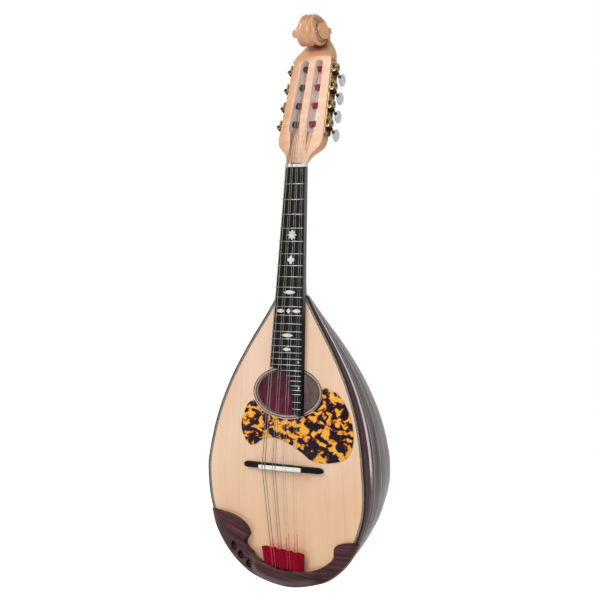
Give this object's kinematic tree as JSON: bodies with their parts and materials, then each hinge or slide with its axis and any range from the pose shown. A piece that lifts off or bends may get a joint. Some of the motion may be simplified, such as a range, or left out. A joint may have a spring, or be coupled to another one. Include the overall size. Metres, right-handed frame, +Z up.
{
  "type": "bowl back mandolin",
  "caption": "Bowl back mandolin with a ribbed bowl, canted spruce top, oval sound hole, scroll head, open worm tuners, floating bridge and felt damper.",
  "frame": {"origin": "on the centre line at the nut, in the glue plane of the fingerboard, where a hanger's fork holds the neck", "axes": "+X to the player's treble side, -Y to the front where the strings are, +Z up the neck to the head"},
  "size_m": [0.2082, 0.1524, 0.6427],
  "materials": {
    "spruce": "satin",
    "rosewood": "gloss",
    "rosette_wood": "satin",
    "tortoise": "gloss",
    "ebony": "satin",
    "bone": "satin",
    "maple": "gloss",
    "gilt_brass": "polished",
    "red_felt": "matte",
    "block_wood": "matte",
    "string_steel": "polished",
    "pearl": "gloss",
    "roller_bone": "satin",
    "wound_silk": "matte"
  },
  "bodies": {
    "instrument": {"soundboard": "spruce", "bowl": "rosewood", "tail_cover": "rosewood", "binding": "rosewood", "rosette": "rosette_wood", "pickguard": "tortoise", "bridge_base": "ebony", "bridge_saddle": "bone", "fingerboard": "ebony", "nut": "bone", "neck": "maple", "headstock": "maple", "tailpiece": "gilt_brass", "damper_felt": "red_felt", "tuner_plate_left": "gilt_brass", "tuner_plate_right": "gilt_brass", "neck_block": "block_wood", "tail_block": "block_wood", "brace_upper": "spruce", "brace_lower": "spruce", "string_g_outer": "string_steel", "string_g_inner": "string_steel", "string_d_outer": "string_steel", "string_d_inner": "string_steel", "string_a_inner": "string_steel", "string_a_outer": "string_steel", "string_e_inner": "string_steel", "string_e_outer": "string_steel"},
    "worm_a_inner": {"worm_shaft_a_inner": "gilt_brass", "button_a_inner": "pearl"},
    "roller_a_inner": {"roller_a_inner": "roller_bone", "winding_a_inner": "wound_silk"},
    "worm_a_outer": {"worm_shaft_a_outer": "gilt_brass", "button_a_outer": "pearl"},
    "roller_a_outer": {"roller_a_outer": "roller_bone", "winding_a_outer": "wound_silk"},
    "worm_e_inner": {"worm_shaft_e_inner": "gilt_brass", "button_e_inner": "pearl"},
    "roller_e_inner": {"roller_e_inner": "roller_bone", "winding_e_inner": "wound_silk"},
    "worm_e_outer": {"worm_shaft_e_outer": "gilt_brass", "button_e_outer": "pearl"},
    "roller_e_outer": {"roller_e_outer": "roller_bone", "winding_e_outer": "wound_silk"},
    "worm_d_inner": {"worm_shaft_d_inner": "gilt_brass", "button_d_inner": "pearl"},
    "roller_d_inner": {"roller_d_inner": "roller_bone", "winding_d_inner": "wound_silk"},
    "worm_d_outer": {"worm_shaft_d_outer": "gilt_brass", "button_d_outer": "pearl"},
    "roller_d_outer": {"roller_d_outer": "roller_bone", "winding_d_outer": "wound_silk"},
    "worm_g_inner": {"worm_shaft_g_inner": "gilt_brass", "button_g_inner": "pearl"},
    "roller_g_inner": {"roller_g_inner": "roller_bone", "winding_g_inner": "wound_silk"},
    "worm_g_outer": {"worm_shaft_g_outer": "gilt_brass", "button_g_outer": "pearl"},
    "roller_g_outer": {"roller_g_outer": "roller_bone", "winding_g_outer": "wound_silk"}
  },
  "joints": [
    {"name": "worm_turn_a_inner", "type": "hinge", "parent": "instrument", "child": "worm_a_inner", "pos_m": [0.02992, 0.02274, 0.10975], "axis": [0.0133, 0.883, -0.4692], "continuous": true},
    {"name": "roller_turn_a_inner", "type": "hinge", "parent": "instrument", "child": "roller_a_inner", "pos_m": [0.02539, 0.02578, 0.11534], "axis": [0.999, 0.0087, 0.0446], "continuous": true},
    {"name": "worm_turn_a_outer", "type": "hinge", "parent": "instrument", "child": "worm_a_outer", "pos_m": [0.03092, 0.01857, 0.08825], "axis": [0.0133, 0.883, -0.4692], "continuous": true},
    {"name": "roller_turn_a_outer", "type": "hinge", "parent": "instrument", "child": "roller_a_outer", "pos_m": [0.02639, 0.0216, 0.09384], "axis": [0.999, 0.0087, 0.0446], "continuous": true},
    {"name": "worm_turn_e_inner", "type": "hinge", "parent": "instrument", "child": "worm_e_inner", "pos_m": [0.0319, 0.01444, 0.06705], "axis": [0.0133, 0.883, -0.4692], "continuous": true},
    {"name": "roller_turn_e_inner", "type": "hinge", "parent": "instrument", "child": "roller_e_inner", "pos_m": [0.02737, 0.01748, 0.07263], "axis": [0.999, 0.0087, 0.0446], "continuous": true},
    {"name": "worm_turn_e_outer", "type": "hinge", "parent": "instrument", "child": "worm_e_outer", "pos_m": [0.03289, 0.01027, 0.04555], "axis": [0.0133, 0.883, -0.4692], "continuous": true},
    {"name": "roller_turn_e_outer", "type": "hinge", "parent": "instrument", "child": "roller_e_outer", "pos_m": [0.02836, 0.0133, 0.05114], "axis": [0.999, 0.0087, 0.0446], "continuous": true},
    {"name": "worm_turn_d_inner", "type": "hinge", "parent": "instrument", "child": "worm_d_inner", "pos_m": [-0.02992, 0.02274, 0.10975], "axis": [0.0133, -0.883, 0.4692], "continuous": true},
    {"name": "roller_turn_d_inner", "type": "hinge", "parent": "instrument", "child": "roller_d_inner", "pos_m": [-0.02539, 0.02578, 0.11534], "axis": [-0.999, 0.0087, 0.0446], "continuous": true},
    {"name": "worm_turn_d_outer", "type": "hinge", "parent": "instrument", "child": "worm_d_outer", "pos_m": [-0.03092, 0.01857, 0.08825], "axis": [0.0133, -0.883, 0.4692], "continuous": true},
    {"name": "roller_turn_d_outer", "type": "hinge", "parent": "instrument", "child": "roller_d_outer", "pos_m": [-0.02639, 0.0216, 0.09384], "axis": [-0.999, 0.0087, 0.0446], "continuous": true},
    {"name": "worm_turn_g_inner", "type": "hinge", "parent": "instrument", "child": "worm_g_inner", "pos_m": [-0.0319, 0.01444, 0.06705], "axis": [0.0133, -0.883, 0.4692], "continuous": true},
    {"name": "roller_turn_g_inner", "type": "hinge", "parent": "instrument", "child": "roller_g_inner", "pos_m": [-0.02737, 0.01748, 0.07263], "axis": [-0.999, 0.0087, 0.0446], "continuous": true},
    {"name": "worm_turn_g_outer", "type": "hinge", "parent": "instrument", "child": "worm_g_outer", "pos_m": [-0.03289, 0.01027, 0.04555], "axis": [0.0133, -0.883, 0.4692], "continuous": true},
    {"name": "roller_turn_g_outer", "type": "hinge", "parent": "instrument", "child": "roller_g_outer", "pos_m": [-0.02836, 0.0133, 0.05114], "axis": [-0.999, 0.0087, 0.0446], "continuous": true}
  ],
  "couplings": [
    {"joint": "roller_turn_a_inner", "follows": "worm_turn_a_inner", "ratio": -0.071429},
    {"joint": "roller_turn_a_outer", "follows": "worm_turn_a_outer", "ratio": -0.071429},
    {"joint": "roller_turn_e_inner", "follows": "worm_turn_e_inner", "ratio": -0.071429},
    {"joint": "roller_turn_e_outer", "follows": "worm_turn_e_outer", "ratio": -0.071429},
    {"joint": "roller_turn_d_inner", "follows": "worm_turn_d_inner", "ratio": -0.071429},
    {"joint": "roller_turn_d_outer", "follows": "worm_turn_d_outer", "ratio": -0.071429},
    {"joint": "roller_turn_g_inner", "follows": "worm_turn_g_inner", "ratio": -0.071429},
    {"joint": "roller_turn_g_outer", "follows": "worm_turn_g_outer", "ratio": -0.071429}
  ]
}
